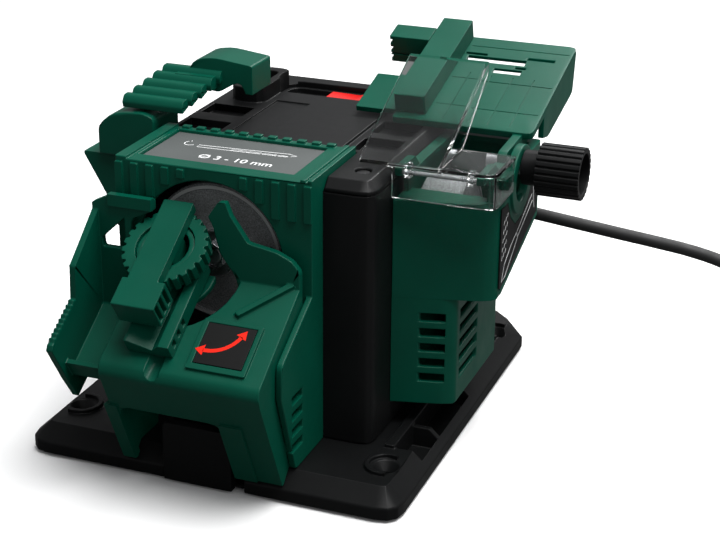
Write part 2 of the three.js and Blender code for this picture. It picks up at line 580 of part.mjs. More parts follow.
function rightStation() {
  const { left, right, waist, low, step, top } = STATION;
  const lower = alongZ(
    [[left, 70.6], [96, 77, 2], [waist, 80, 3], [waist, 153, 3], [left, 153]], [low, step + 2]);
  const upper = alongZ(
    [[left, 70.6], [107, 79.6, 4], [right, 84, 8], [right, 158, 3], [left, 158]], [step, top]);
  let body = join(lower, upper, rodX(KNOB.y, 142.8, 18, [right - WALL, right + 1.5], 28));
  body = cut(body, alongX([[80, 80], [87, 88.6], [165, 114], [165, 80]], [waist + 0.5, 130]));
  body = cut(
    body,
    alongZ([[73, 74.4], [94.5, 80], [99.5, 82], [99.5, 150], [73, 150]], [low + WALL, 100]),
    alongZ([[73, 74.4], [111, 84.4], [118.6, 88], [118.6, 155], [73, 155]], [step + WALL + 14, top - WALL]),
    alongZ([[73, 74.4], [99.5, 81.5], [99.5, 150], [73, 150]], [90, 120]));
  // The wheel's opening in the top, and the lower front part of the top that the guard swings over.
  body = cut(
    body,
    block([76, 117], [108, WHEEL_ROOM.back], [140, 165]),
    block([76, 111], [WHEEL_ROOM.front, 110], [140, 165]),
    block([60, 130], [60, WHEEL_ROOM.front], [140.5, 165]));
  body = join(body, alongZ(
    [[left, 70.6], [107, 79.6, 4], [right, 84, 8], [right, 93], [left, 93]], [137.5, 140.5]));
  // Arms that hold the guard's hinge pin in front of the opening.
  for (const x of [left + 1.5, right - 8]) {
    body = join(body, alongX(
      [[68.6, 154.2, 1], [68.6, 158.2, 1], [88, 158.2], [96, 151], [96, 149], [86.3, 149], [76, 154.2]],
      [x, x + 3.8]));
  }
  return cut(
    body,
    rodX(GUARD.hinge_y, GUARD.hinge_z, 1.5, [left + 1, right - 4], 10),
    rodX(KNOB.y, 142.8, 11.5, [right - 6, right + 5], 24),
    rodX(CROSS_Y, SHAFT.z, 8, [left - 1, 75], 16),
    ...[0, 1, 2, 3, 4].map(i => block([84, 97], [70, 84], [42 + 8.4 * i, 46.6 + 8.4 * i])),
    ...[0, 1, 2, 3, 4].map(i => block([98, 104], [86, 116], [42 + 8.4 * i, 46.6 + 8.4 * i])));
}

const labelOutline = [
  [87, 137], [98, 137], [104, 127], [113, 120.5], [126, 121.5], [135, 128], [139, 137], [154, 140],
  [154, 113], [90, 92.5], [87, 94],
];
part('right_station_body', cut(
  rightStation(),
  alongX(labelOutline, [STATION.right - 0.9, STATION.right + 1])), green);
part('station_label', alongX(
  [[87.4, 136.6], [97.8, 136.6], [103.8, 126.6], [112.9, 120.1], [126.1, 121.1], [135.3, 127.7],
    [139.3, 136.6], [153.6, 139.6], [153.6, 113.3], [90.2, 93], [87.4, 94.3]],
  [STATION.right - 0.6, STATION.right]), dark);

// ---- clear guard on its hinge pin --------------------------------------------------------

function clearGuard() {
  const { thick, front_top, tilt } = GUARD;
  const rise = Math.tan(THREE.MathUtils.degToRad(tilt));
  const at = y => front_top + (y - 68) * rise;
  const window = alongX(
    [[68, at(68) - thick], [142, at(142) - thick], [142, at(142)], [68, at(68)]], [53, 96]);
  const side = alongX(
    [[68, 158], [70, 159], [100, 159], [142, at(142) - 6], [142, at(142)], [68, at(68)]], [94, 96]);
  const deck = alongZ([[94, 66], [124, 66, 6], [124, 100], [94, 100]], [159, 161]);
  const skirt = cut(
    alongZ([[71, 66], [124, 66, 6], [124, 97.5], [71, 97.5]], [143, 160]),
    alongZ([[60, 68], [122, 68, 5], [122, 110], [60, 110]], [140, 165]));
  const bridge = block([68.5, 96], [66, 68.6], [158.8, 160.6]);
  const lugs = [77, 109].map(x => block([x, x + 3], [67, 72.6], [154, 160]));
  return cut(
    join(window, side, deck, skirt, bridge, ...lugs),
    rodX(GUARD.hinge_y, GUARD.hinge_z, 1.6, [76, 117], 10));
}

part('clear_guard', clearGuard(), clear);
part('guard_hinge_pin', rodX(
  GUARD.hinge_y, GUARD.hinge_z, 1.2, [STATION.left + 2, STATION.right - 5], 8), steel);

// ---- chisel table, fence and lock knob ---------------------------------------------------

function chiselTable() {
  const { left, right, length, thick } = TABLE;
  const plate = alongZ([[left, -2], [right, -2, 4], [right, length, 4], [left, length]], [-thick, 0]);
  const wing = alongZ([[21.6, 5, 1], [left + 1, 5], [left + 1, 40], [21.6, 40, 1]], [-thick + 1, 0]);
  // The ledge under the fence's carriage, with the same ribbed end.
  const ledge = block([21.5, left + 1], [62, 76], [-5, -GAP]);
  let table = join(plate, wing, cut(ledge, block([15, 23], [60, 78], [-3, -0.8])));
  table = cut(
    table,
    block([65, 98.3], [65, 68.4], [-9, 5]),
    block([83, 98.6], [54.4, 57.6], [-9, 5]),
    block([62.5, 75], [70.2, 72.4], [-1.5, 5]),
    block([98, 113.5], [69.6, 72.4], [-1.5, 5]),
    block([94, 100], [59.4, 61.6], [-1.5, 5]));
  table = join(geometryOf(table).applyMatrix4(tableMatrix), alongX(
    [[160.5, 164], [160.5, 151.5], [171, 149.4, 2], [219.8, 160.3, 3], [224, 182.5]], [right - WALL, right]));
  // The arm that hangs the table on the knob's spindle.
  table = join(table, alongX(
    [[KNOB.y - 8, 142, 4], [KNOB.y + 8, 142, 4], [158, 157], [158, 164], [141, 159.5], [KNOB.y - 8, 158, 4]],
    [111, 116]));
  return cut(table, rodX(KNOB.y, KNOB.z, 4.3, [105, 120], 16));
}

part('chisel_table', chiselTable(), green);
part('fence_bar', onTable(block([45, 62], [3, 88.5], [GAP, 11])), green);
part('fence_carriage', onTable(geometryOf(cut(
  block([21.5, 44.7], [62, 76], [GAP, 11]),
  ...[0, 1].map(i => block([15, 23], [60, 78], [2 + 4.6 * i, 4.2 + 4.6 * i]))))), green);

part('lock_spindle', rodX(KNOB.y, KNOB.z, 4, [104, 123.2], 12), steel);
function lockKnob() {
  const { y, z, radius, ribs } = KNOB;
  const grip = alongX(star(ribs, radius, radius - 1, 0.55).map(([a, b]) => [a + y, b + z]), [132, 154.5]);
  return cut(
    join(grip, rodX(y, z, 9, [123.5, 132.5], 20)),
    rodX(y, z, radius - 3, [141, 156], 24));
}
part('lock_knob', lockKnob(), black);

// ---- left station and its knife guide ----------------------------------------------------

function leftStation() {
  const { left, right, radius } = LEFT_HUB;
  let body = join(
    rodX(CROSS_Y, SHAFT.z, radius, [left, right], 32),
    block([left + 1, right - 2], [84, 107], [113, 139.2]),
    alongY([[-111, 139.2], [-111, 137.6], [-98, 115], [-84, 115], [-84, 139.2]], [84, 106]),
    block([right - 3, right], [90, 134], [80, 130]));
  return cut(
    body,
    rodX(CROSS_Y, SHAFT.z, radius - 2.6, [left + 2.6, right - 2.6], 32),
    rodX(CROSS_Y, SHAFT.z, 7, [right - 5, right + 5], 16),
    block([-88, -79], [100, 124], [126, 150]));
}
part('left_station_body', leftStation(), green);

part('knife_guide_block', cut(
  alongY([[-100, 139.5], [-66.8, 139.5], [-66.8, 163, 3], [-74, 165, 2], [-92, 163.5, 7], [-100, 155, 3]],
    [81, 110]),
  block([-88, -80], [96, 120], [130, 158])), green);

function knifeGrip() {
  const ridge = [];
  for (let i = 0; i < 5; i++) {
    const y = 84 + 6.4 * i;
    const z = 168.4 + 2.6 * i;
    ridge.push(alongX(
      [[y, z - 2], [y + 7, z], [y + 6.6, z + 4.5, 1], [y + 1.4, z + 4.6, 2], [y - 0.6, z + 1, 1]],
      [-86 + 2.6 * i, -51 + 2.4 * i]));
  }
  const stem = block([-84, -76], [90, 108], [165.5, 172]);
  const arm = alongY(
    [[-64, 176], [-58, 188, 5], [-46, 190, 4], [-24, 187.5, 1.5], [-24, 172], [-28, 172], [-31, 179, 5],
      [-44, 171, 3]],
    [112, 136]);
  return join(...ridge, stem, arm, block([-66, -44], [106, 120], [174, 181]));
}
part('knife_guide_grip', knifeGrip(), green);

// ---- mains cord --------------------------------------------------------------------------

part('strain_relief', rod([HOUSING.right + 1, CORD.y, 98.9], [104, CORD.y, 95.5], 6.5, 14, 4.4), black);

// The lead leaves almost level, sinks beyond the machine and lies down to its coil.
const leadRoute = [
  [104.4, 95.45], [120, 93.8], [140, 91.7], [160, 89.6], [180, 87.6], [198, 85.4], [214, 82], [230, 76],
  [246, 66.5], [261, 54], [275, 41], [289, 28.5], [303, 17.5], [317, 9.6], [331, 5.2], [345, 3.9],
].map(([x, z]) => new THREE.Vector3(x, CORD.y, z));

// The cord's round section run along a route.
function tube(route, steps) {
  const sides = 10;
  const ring = new THREE.Shape();
  for (let i = 0; i < sides; i++) {
    const angle = i * 2 * Math.PI / sides;
    const [a, b] = [CORD.radius * Math.cos(angle), CORD.radius * Math.sin(angle)];
    if (i === 0) ring.moveTo(a, b);
    else ring.lineTo(a, b);
  }
  return new THREE.ExtrudeGeometry(ring, {
    steps, extrudePath: new THREE.CatmullRomCurve3(route), bevelEnabled: false,
  });
}
part('cord_lead', tube(leadRoute, 18), rubber);

// The rest of the lead, as the outer shape of one neat coil, and the plug that lies against it.
const [COIL_IN, COIL_OUT] = [COIL.mean - COIL.half_width, COIL.mean + COIL.half_width];
part('cord_coil', turned([
  [COIL_IN, 2], [COIL_OUT, 2], [COIL_OUT, COIL.height - 2], [COIL_OUT - 4, COIL.height],
  [COIL_IN + 4, COIL.height], [COIL_IN, COIL.height - 2], [COIL_IN, 2],
], 32).translate(COIL.x, COIL.y, 0), rubber);

// The free end leaves the coil, rises a little and enters the back of the plug.
const tailRoute = [
  [422, 119.2, 4.2], [420.5, 106.2, 4.6], [415, 94.2, 6.4], [406, 86, 9.4], [395, 83.4, 11.2],
].map(place => new THREE.Vector3(...place));
part('cord_tail', tube(tailRoute, 6), rubber);

const PLUG = { x: 352, y: 83.2, z: 11.4, half_width: 18, half_height: 11 };
function mainsPlug() {
  const { x, y, z, half_width, half_height } = PLUG;
  const shell = alongX([
    [y - half_width, z - half_height, 8], [y + half_width, z - half_height, 8],
    [y + half_width, z + half_height, 8], [y - half_width, z + half_height, 8],
  ], [x - 14, x + 20]);
  return join(
    shell,
    rod([x + 19.5, y, z], [x + 42, y, z], 9.5, 14, 4.6),
    ...[-9.5, 9.5].map(side => rodX(y + side, z, 2.4, [x - 33, x - 13], 10)));
}
part('mains_plug', mainsPlug(), rubber);

// ---- origin at the bottom centre of the machine, its cord left out -------------------------

const cordNames = ['cord_lead', 'cord_coil', 'cord_tail', 'mains_plug'];
const extent = new THREE.Box3();
machine.updateMatrixWorld(true);
machine.traverse(object => {
  if (object.isMesh && !cordNames.includes(object.name)) extent.expandByObject(object, true);
});
const middle = extent.getCenter(new THREE.Vector3());
machine.position.set(-middle.x, -middle.y, -extent.min.z);

export default machine;
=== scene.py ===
"""Looks of a bench sharpening station: rounded mouldings, labels, grinding wheels, mains cord,
procedural materials, floor, light and camera. Metres, +X right, +Y away from the user, +Z up."""

import json
import math

import bmesh
import bpy
from mathutils import Matrix, Vector


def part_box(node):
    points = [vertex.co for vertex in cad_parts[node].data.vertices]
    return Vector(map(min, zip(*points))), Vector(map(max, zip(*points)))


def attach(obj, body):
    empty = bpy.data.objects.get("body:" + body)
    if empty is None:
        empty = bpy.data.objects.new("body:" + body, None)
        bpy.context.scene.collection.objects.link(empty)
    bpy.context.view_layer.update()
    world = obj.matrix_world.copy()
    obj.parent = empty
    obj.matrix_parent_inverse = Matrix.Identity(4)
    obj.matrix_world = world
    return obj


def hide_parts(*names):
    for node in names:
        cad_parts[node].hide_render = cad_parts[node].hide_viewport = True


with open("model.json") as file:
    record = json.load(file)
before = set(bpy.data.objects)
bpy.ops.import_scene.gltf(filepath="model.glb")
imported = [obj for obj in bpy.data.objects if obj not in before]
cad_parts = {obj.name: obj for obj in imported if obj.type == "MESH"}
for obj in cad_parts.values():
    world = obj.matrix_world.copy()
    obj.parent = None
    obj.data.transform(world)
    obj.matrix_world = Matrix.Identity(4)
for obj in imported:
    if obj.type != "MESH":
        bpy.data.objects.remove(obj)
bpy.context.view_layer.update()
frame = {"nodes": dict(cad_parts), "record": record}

MM = 0.001
NODES = frame["nodes"]
RECORD = frame["record"]
BODY_OF = {node: body for body, nodes in RECORD["behaviour"]["bodies"].items() for node in nodes}
SLOT_OF = {part["node"]: part["material_slot"] for part in RECORD["subparts"]}

# The machine is laid out in millimetres: x = -105 at the base plate's left side, y = 0 at its
# front edge and z = 0 on the bench, on which the feet hold the plate 1.5 mm up.
BASE_LEFT, BASE_BOTTOM = -105.0, 1.5
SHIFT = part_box("base_plate")[0] - Vector((BASE_LEFT, 0, BASE_BOTTOM)) * MM


def at(x, y, z):
    """A point of the layout, in the row frame."""
    return Vector((x, y, z)) * MM + SHIFT


def plane(x, y, z, tilt=0.0):
    """The frame of a plane through a layout point that rises away from the user by tilt degrees."""
    return Matrix.Translation(at(x, y, z)) @ Matrix.Rotation(math.radians(tilt), 4, "X")


SLOPE = plane(0, 20.2, 104, 33)          # sloping top of the drill guide
TABLE = plane(0, 139.8, 161.1, 15.5)     # top of the chisel table


# ---- camera ---------------------------------------------------------------------------------

CAMERA = {
    "azimuth": 20.9, "elevation": 22.4, "roll": 0.46,
    "lens": 84.2, "place": (333.99, -664.88, 424.88),
}


def make_camera():
    azimuth, elevation, roll = (math.radians(CAMERA[k]) for k in ("azimuth", "elevation", "roll"))
    back = Vector((
        math.sin(azimuth) * math.cos(elevation),
        -math.cos(azimuth) * math.cos(elevation),
        math.sin(elevation)))
    right = Vector((math.cos(azimuth), math.sin(azimuth), 0))
    up = right.cross(-back)
    turned_right = right * math.cos(roll) + up * math.sin(roll)
    turned_up = up * math.cos(roll) - right * math.sin(roll)
    data = bpy.data.cameras.new("camera")
    data.lens = CAMERA["lens"]
    data.sensor_width = 36
    data.clip_start = 0.01
    camera = bpy.data.objects.new("camera", data)
    bpy.context.scene.collection.objects.link(camera)
    axes = Matrix((turned_right, turned_up, back)).transposed().to_4x4()
    camera.matrix_world = Matrix.Translation(at(*CAMERA["place"])) @ axes
    bpy.context.scene.camera = camera


make_camera()


# ---- materials ------------------------------------------------------------------------------

class Nodes:
    """A material's node tree with short calls to add and link nodes."""

    def __init__(self, name):
        self.material = bpy.data.materials.new(name)
        self.material.use_nodes = True
        self.tree = self.material.node_tree
        self.shader = self.tree.nodes["Principled BSDF"]
        self.coordinates = self.tree.nodes.new("ShaderNodeTexCoord").outputs["Object"]

    def add(self, kind, links=None, **values):
        node = self.tree.nodes.new(kind)
        for name, value in values.items():
            if hasattr(node, name):
                setattr(node, name, value)
            else:
                node.inputs[name.replace("_", " ")].default_value = value
        for name, socket in (links or {}).items():
            self.tree.links.new(socket, node.inputs[name])
        return node

    def noise(self, scale, detail=4.0, roughness=0.55, stretch=None):
        vector = self.coordinates
        if stretch:
            mapping = self.add("ShaderNodeMapping", {"Vector": vector})
            mapping.inputs["Scale"].default_value = stretch
            vector = mapping.outputs["Vector"]
        node = self.add(
            "ShaderNodeTexNoise", {"Vector": vector},
            Scale=scale, Detail=detail, Roughness=roughness)
        return node.outputs["Fac"]

    def ramp(self, socket, low, high, start=0.3, end=0.7):
        node = self.add("ShaderNodeValToRGB", {"Fac": socket})
        node.color_ramp.elements[0].position = start
        node.color_ramp.elements[0].color = (*low, 1)
        node.color_ramp.elements[1].position = end
        node.color_ramp.elements[1].color = (*high, 1)
        return node.outputs["Color"]

    def span(self, socket, low, high):
        node = self.add(
            "ShaderNodeMapRange", {"Value": socket},
            From_Min=0.25, From_Max=0.75, To_Min=low, To_Max=high)
        return node.outputs["Result"]

    def bump(self, socket, strength, distance, normal=None):
        links = {"Height": socket}
        if normal:
            links["Normal"] = normal
        node = self.add("ShaderNodeBump", links, Strength=strength, Distance=distance)
        return node.outputs["Normal"]

    def feed(self, name, socket):
        self.tree.links.new(socket, self.shader.inputs[name])

    def fix(self, name, value):
        self.shader.inputs[name].default_value = value


def scaled(color, factor):
    return tuple(min(1.0, c * factor) for c in color)


def plastic(
        name, color, roughness=0.42, grain=2600.0, depth=0.00006, strength=0.22, spread=0.1,
        specular=0.5):
    """Spark-eroded moulded plastic: a fine even grain, with slow changes of tone and gloss."""
    n = Nodes(name)
    slow = n.noise(22.0, 3.0)
    n.feed("Base Color", n.ramp(slow, scaled(color, 1 - spread), scaled(color, 1 + spread)))
    n.feed("Roughness", n.span(n.noise(60.0, 5.0), roughness - 0.05, roughness + 0.07))
    fine = n.noise(grain, 2.0, 0.5)
    n.feed("Normal", n.bump(fine, strength, depth))
    n.fix("Specular IOR Level", specular)
    return n.material


def metal(name, color, roughness=0.3, lines=(1, 1, 1), depth=0.00004, strength=0.15):
    n = Nodes(name)
    brushed = n.noise(900.0, 6.0, 0.6, stretch=lines)
    n.feed("Base Color", n.ramp(brushed, scaled(color, 0.82), color))
    n.feed("Roughness", n.span(n.noise(150.0, 4.0), roughness - 0.08, roughness + 0.1))
    n.feed("Normal", n.bump(brushed, strength, depth))
    n.fix("Metallic", 1.0)
    return n.material


def grit(name, color):
    """Bonded abrasive: tight grains of two sizes with bright and dark specks."""
    n = Nodes(name)
    cells = n.add("ShaderNodeTexVoronoi", {"Vector": n.coordinates}, Scale=2200.0)
    specks = n.ramp(cells.outputs["Color"], scaled(color, 0.62), scaled(color, 1.35), 0.15, 0.85)
    cloud = n.ramp(n.noise(45.0, 5.0), (0.82, 0.82, 0.82), (1, 1, 1))
    mixed = n.add("ShaderNodeMix", data_type="RGBA", blend_type="MULTIPLY")
    mixed.inputs["Factor"].default_value = 1.0
    n.tree.links.new(specks, mixed.inputs["A"])
    n.tree.links.new(cloud, mixed.inputs["B"])
    n.feed("Base Color", mixed.outputs["Result"])
    coarse = n.bump(cells.outputs["Distance"], 0.5, 0.0002)
    n.feed("Normal", n.bump(n.noise(3500.0, 3.0), 0.4, 0.0001, coarse))
    n.feed("Roughness", n.span(n.noise(300.0), 0.55, 0.8))
    return n.material


def clear(name):
    """Clear moulded polycarbonate with a trace of haze and faint flow marks."""
    n = Nodes(name)
    n.feed("Base Color", n.ramp(n.noise(12.0), (0.955, 0.975, 0.968), (0.985, 0.995, 0.99)))
    n.feed("Roughness", n.span(n.noise(40.0, 3.0), 0.02, 0.07))
    n.feed("Normal", n.bump(n.noise(30.0, 2.0), 0.01, 0.0002))
    n.fix("Transmission Weight", 1.0)
    n.fix("IOR", 1.35)
    return n.material


def rubber(name, color, roughness=0.62):
    n = Nodes(name)
    n.feed("Base Color", n.ramp(n.noise(35.0), scaled(color, 0.85), scaled(color, 1.2)))
    n.feed("Roughness", n.span(n.noise(120.0, 4.0), roughness - 0.08, roughness + 0.08))
    n.feed("Normal", n.bump(n.noise(1500.0, 3.0), 0.2, 0.0001))
    return n.material


PRINT = {"roughness": 0.5, "grain": 4000.0, "strength": 0.08}
MATERIALS = {
    "green_plastic": plastic(
        "green_plastic", (0.0, 0.062, 0.037), 0.38, strength=0.3, specular=0.16),
    "black_plastic": plastic(
        "black_plastic", (0.0045, 0.0048, 0.005), grain=2200.0, strength=0.45, specular=0.14),
    "label_grey": plastic("label_grey", (0.075, 0.082, 0.081), specular=0.2, **PRINT),
    "label_black": plastic("label_black", (0.006, 0.006, 0.006), specular=0.15, **PRINT),
    "red_plastic": plastic("red_plastic", (0.62, 0.012, 0.01), 0.25, strength=0.08),
    "fan_plastic": plastic("fan_plastic", (0.3, 0.3, 0.3), 0.45),
    "clear_plastic": clear("clear_plastic"),
    "abrasive": grit("abrasive", (0.2, 0.21, 0.213)),
    "rubber": rubber("rubber", (0.007, 0.007, 0.0075)),
    "steel": metal("steel", (0.62, 0.63, 0.65), 0.28),
    "dark_steel": metal("dark_steel", (0.05, 0.05, 0.052), 0.4),
    "core_steel": metal("core_steel", (0.3, 0.3, 0.32), 0.5, lines=(1, 30, 1)),
    "copper": metal("copper", (0.72, 0.32, 0.16), 0.35, lines=(1, 12, 1)),
    "brass": metal("brass", (0.76, 0.56, 0.25)),
    "print_white": plastic(
        "print_white", (0.72, 0.73, 0.73), 0.5, strength=0.05, spread=0.04),
    "print_red": plastic(
        "print_red", (0.83, 0.022, 0.01), 0.5, strength=0.05, spread=0.05, specular=0.1),
    # Light grey for the ring beside each wheel's rim, a painted highlight.
    "rim": plastic("rim", (0.4, 0.41, 0.41), 0.45, strength=0.1),
}


# ---- mesh helpers ---------------------------------------------------------------------------

def new_object(name, mesh):
    piece = bpy.data.objects.new(name, mesh)
    bpy.context.scene.collection.objects.link(piece)
    return piece


def finished(piece, body, slot, material=None, replaced=()):
    """Gives a piece its material, by default the one of its slot, puts it on its body and hides the CAD
    nodes that it stands for.
    """
    piece.data.materials.clear()
    piece.data.materials.append(MATERIALS[material or slot])
    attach(piece, body)
    if replaced:
        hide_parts(*replaced)
    return piece


def shade(mesh, angle=32):
    """Smooth shading with every edge above the angle left sharp."""
    bm = bmesh.new()
    bm.from_mesh(mesh)
    limit = math.radians(angle)
    for face in bm.faces:
        face.smooth = True
    for edge in bm.edges:
        edge.smooth = len(edge.link_faces) == 2 and edge.calc_face_angle(0) < limit
    bm.to_mesh(mesh)
    bm.free()


def box_mesh(bm, low, high, frame_matrix=None):
    """Adds a box with corners low and high, given in millimetres in a plane's own frame."""
    made = bmesh.ops.create_cube(bm, size=1)["verts"]
    size = Vector(high) - Vector(low)
    middle = (Vector(high) + Vector(low)) / 2
    for vertex in made:
        vertex.co = Vector(c * s for c, s in zip(vertex.co, size)) + middle
        vertex.co = frame_matrix @ (vertex.co * MM) if frame_matrix else vertex.co * MM + SHIFT
    return made


def carved(piece, boxes):
    """Cuts boxes out of a piece; each is (low, high) in layout mm or (low, high, plane)."""
    bm = bmesh.new()
    for spec in boxes:
        box_mesh(bm, *spec)
    cutter_mesh = bpy.data.meshes.new("cutter")
    bm.to_mesh(cutter_mesh)
    bm.free()
    cutter = new_object("cutter", cutter_mesh)
    modifier = piece.modifiers.new("carve", "BOOLEAN")
    modifier.operation = "DIFFERENCE"
    modifier.solver = "EXACT"
    modifier.use_self = True
    modifier.object = cutter
    apply_modifiers(piece)
    bpy.data.objects.remove(cutter)


def apply_modifiers(piece):
    graph = bpy.context.evaluated_depsgraph_get()
    graph.update()
    result = bpy.data.meshes.new_from_object(piece.evaluated_get(graph))
    piece.modifiers.clear()
    piece.data = result


def tidy(mesh, weld=0.00001, flat=0.6):
    """Welds the importer's split corners and joins coplanar triangles into whole faces."""
    if "custom_normal" in mesh.attributes:
        mesh.attributes.remove(mesh.attributes["custom_normal"])
    bm = bmesh.new()
    bm.from_mesh(mesh)
    bmesh.ops.remove_doubles(bm, verts=bm.verts, dist=weld)
    bmesh.ops.dissolve_degenerate(bm, edges=bm.edges, dist=weld)
    bmesh.ops.dissolve_limit(
        bm, angle_limit=math.radians(flat), verts=bm.verts, edges=bm.edges,
        use_dissolve_boundaries=False)
    bm.to_mesh(mesh)
    bm.free()


def distance_to_edge(point, a, b):
    """How far a point is from the stretch between a and b."""
    line = b - a
    share = max(0.0, min(1.0, (point - a).dot(line) / line.length_squared))
    return (point - a - line * share).length


ROOM_SHARE = 0.4            # the part of a narrow face that one rounding may take
WIDTH_STEP = 1.8            # how much wider than its neighbour a rounding may be
SMALLEST_ROUND = 0.00004    # edges with less room stay sharp


def round_edges(piece, width, segments=2, sharp=33):
    """Rounds every sharp edge, by less where a face beside it is narrow."""
    mesh = piece.data
    bm = bmesh.new()
    bm.from_mesh(mesh)
    bmesh.ops.triangulate(bm, faces=bm.faces, ngon_method="BEAUTY")
    weights = bm.edges.layers.float.new("bevel_weight_edge")
    limit = math.radians(sharp)
    chosen = {}
    for edge in bm.edges:
        if len(edge.link_faces) != 2 or edge.calc_face_angle(0) < limit:
            continue
        a, b = (vertex.co for vertex in edge.verts)
        room = [edge.calc_length()]
        for face in edge.link_faces:
            room += [distance_to_edge(v.co, a, b) for v in face.verts if v not in edge.verts]
        chosen[edge] = min(width, ROOM_SHARE * min(room))
    for _ in range(2):
        calmer = {}
        for edge, size in chosen.items():
            near = [chosen[o] for v in edge.verts for o in v.link_edges if o in chosen]
            calmer[edge] = min(size, WIDTH_STEP * min(near))
        chosen = calmer
    for edge, size in chosen.items():
        edge[weights] = size / width if size > SMALLEST_ROUND else 0
    bm.to_mesh(mesh)
    bm.free()
    modifier = piece.modifiers.new("round", "BEVEL")
    modifier.limit_method = "WEIGHT"
    modifier.width = width
    modifier.segments = segments
    modifier.profile = 0.5
    modifier.use_clamp_overlap = False
    modifier.miter_outer = "MITER_SHARP"
    apply_modifiers(piece)


def refined(node, width=0.5, segments=2, carve=(), sharp=33, smooth=40, material=None):
    """A finished moulding for a CAD node: its own shape with details cut in and rounded edges."""
    piece = new_object(node + "_moulding", NODES[node].data.copy())
    tidy(piece.data)
    if carve:
        carved(piece, carve)
        tidy(piece.data)
    round_edges(piece, width * MM, segments, sharp)
    shade(piece.data, smooth)
    flatten = piece.modifiers.new("flatten", "WEIGHTED_NORMAL")
    flatten.keep_sharp = True
    flatten.weight = 60
    apply_modifiers(piece)
    return finished(piece, BODY_OF[node], SLOT_OF[node], material, replaced=[node])


def lathe(name, profile, axis_frame, sides=96):
    """Turns a closed profile of (radius, height) in mm about the frame's Z axis."""
    bm = bmesh.new()
    outline = [(r * MM, h * MM) for r, h in profile]
    rings = []
    for k in range(sides):
        angle = 2 * math.pi * k / sides
        rings.append([
            bm.verts.new(axis_frame @ Vector((r * math.cos(angle), r * math.sin(angle), h)))
            for r, h in outline])
    count = len(profile)
    for k in range(sides):
        a, b = rings[k], rings[(k + 1) % sides]
        for i in range(count):
            j = (i + 1) % count
            bm.faces.new((a[i], b[i], b[j], a[j]))
    bmesh.ops.recalc_face_normals(bm, faces=bm.faces)
    mesh = bpy.data.meshes.new(name)
    bm.to_mesh(mesh)
    bm.free()
    shade(mesh, 30)
    return new_object(name, mesh)


# ---- the cord -------------------------------------------------------------------------------

CORD_RADIUS = 3.5
COIL = {"x": 378.0, "y": 151.7, "lanes": (46.3, 39.0, 31.7), "layers": (3.6, 10.7), "turns": 6}
LEAD_Y = 198.0
LEAD = [
    (104.0, 95.5), (112, 94.65), (120, 93.8), (140, 91.7), (160, 89.6), (180, 87.6),
    (198, 85.4), (214, 82), (230, 76), (246, 66.5), (261, 54), (275, 41),
    (289, 28.5), (303, 17.5), (317, 9.6), (331, 5.2), (345, 3.9), (361, 3.6),
]
TAIL = [
    (424.2, 136, 8.6), (423.6, 127, 6.2), (422, 119.2, 4.4), (420.5, 106.2, 4.6),
    (415, 94.2, 6.4), (406, 86, 9.4), (395, 83.4, 11.2),
]


def coil_points(steps=24):
    """Turns that lie beside each other, outer to inner on the bench and back out on top."""
    outer, middle, inner = COIL["lanes"]
    low, high = COIL["layers"]
    lanes = [
        (outer, low), (middle, low), (inner, low),
        (inner, high), (middle, high), (outer, high), (outer, high),
    ]
    points = []
    for k in range(COIL["turns"] * steps + steps // 4 + 1):
        turn, part = divmod(k, steps)
        share = part / steps
        blend = min(1.0, max(0.0, (share - 0.76) / 0.2))
        blend = blend * blend * (3 - 2 * blend)
        (r0, z0), (r1, z1) = lanes[turn], lanes[min(turn + 1, len(lanes) - 1)]
        radius = r0 + (r1 - r0) * blend
        angle = math.pi / 2 - 2 * math.pi * k / steps
        height = z0 + (z1 - z0) * blend
        points.append((
            COIL["x"] + radius * math.cos(angle), COIL["y"] + radius * math.sin(angle), height))
    return points


def cord_curve():
    """A round cord along the lead, the coil and the tail."""
    points = [(x, LEAD_Y, z) for x, z in LEAD] + coil_points() + TAIL
    curve = bpy.data.curves.new("mains_cord", "CURVE")
    curve.dimensions = "3D"
    curve.bevel_depth = CORD_RADIUS * MM
    curve.bevel_resolution = 4
    curve.resolution_u = 4
    curve.use_fill_caps = True
    spline = curve.splines.new("BEZIER")
    spline.bezier_points.add(len(points) - 1)
    for knot, place in zip(spline.bezier_points, points):
        knot.co = at(*place)
        knot.handle_left_type = knot.handle_right_type = "AUTO"
    return bpy.data.objects.new("mains_cord", curve)


cord = cord_curve()
bpy.context.scene.collection.objects.link(cord)
cord.data.materials.append(MATERIALS["rubber"])
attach(cord, BODY_OF["cord_lead"])
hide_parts("cord_lead", "cord_coil", "cord_tail")
plug = refined("mains_plug", 1.2, 3)


# ---- mouldings ------------------------------------------------------------------------------

def table_grid():
    """Fine guide lines across the chisel table, on both sides of its slots."""
    lines = []
    for s in (16.0, 43.7, 79.4):
        lines.append(((63.5, s - 0.25, -0.5), (119.5, s + 0.25, 1), TABLE))
    for x in (72.0, 84.0, 96.0, 108.0):
        lines.append(((x - 0.25, 2, -0.5), (x + 0.25, 50, 1), TABLE))
    return lines


# The plate is thin round its two long slots, so that one can see through them.
TABLE_SLOTS = [
    ((61, 51, -9), (106, 72, -1.6), TABLE),
    ((65, 63.6, -9), (98.3, 69.0, 5), TABLE),
    ((83, 53.4, -9), (98.6, 58.2, 5), TABLE),
]


CARVING = {"chisel_table": table_grid() + TABLE_SLOTS}

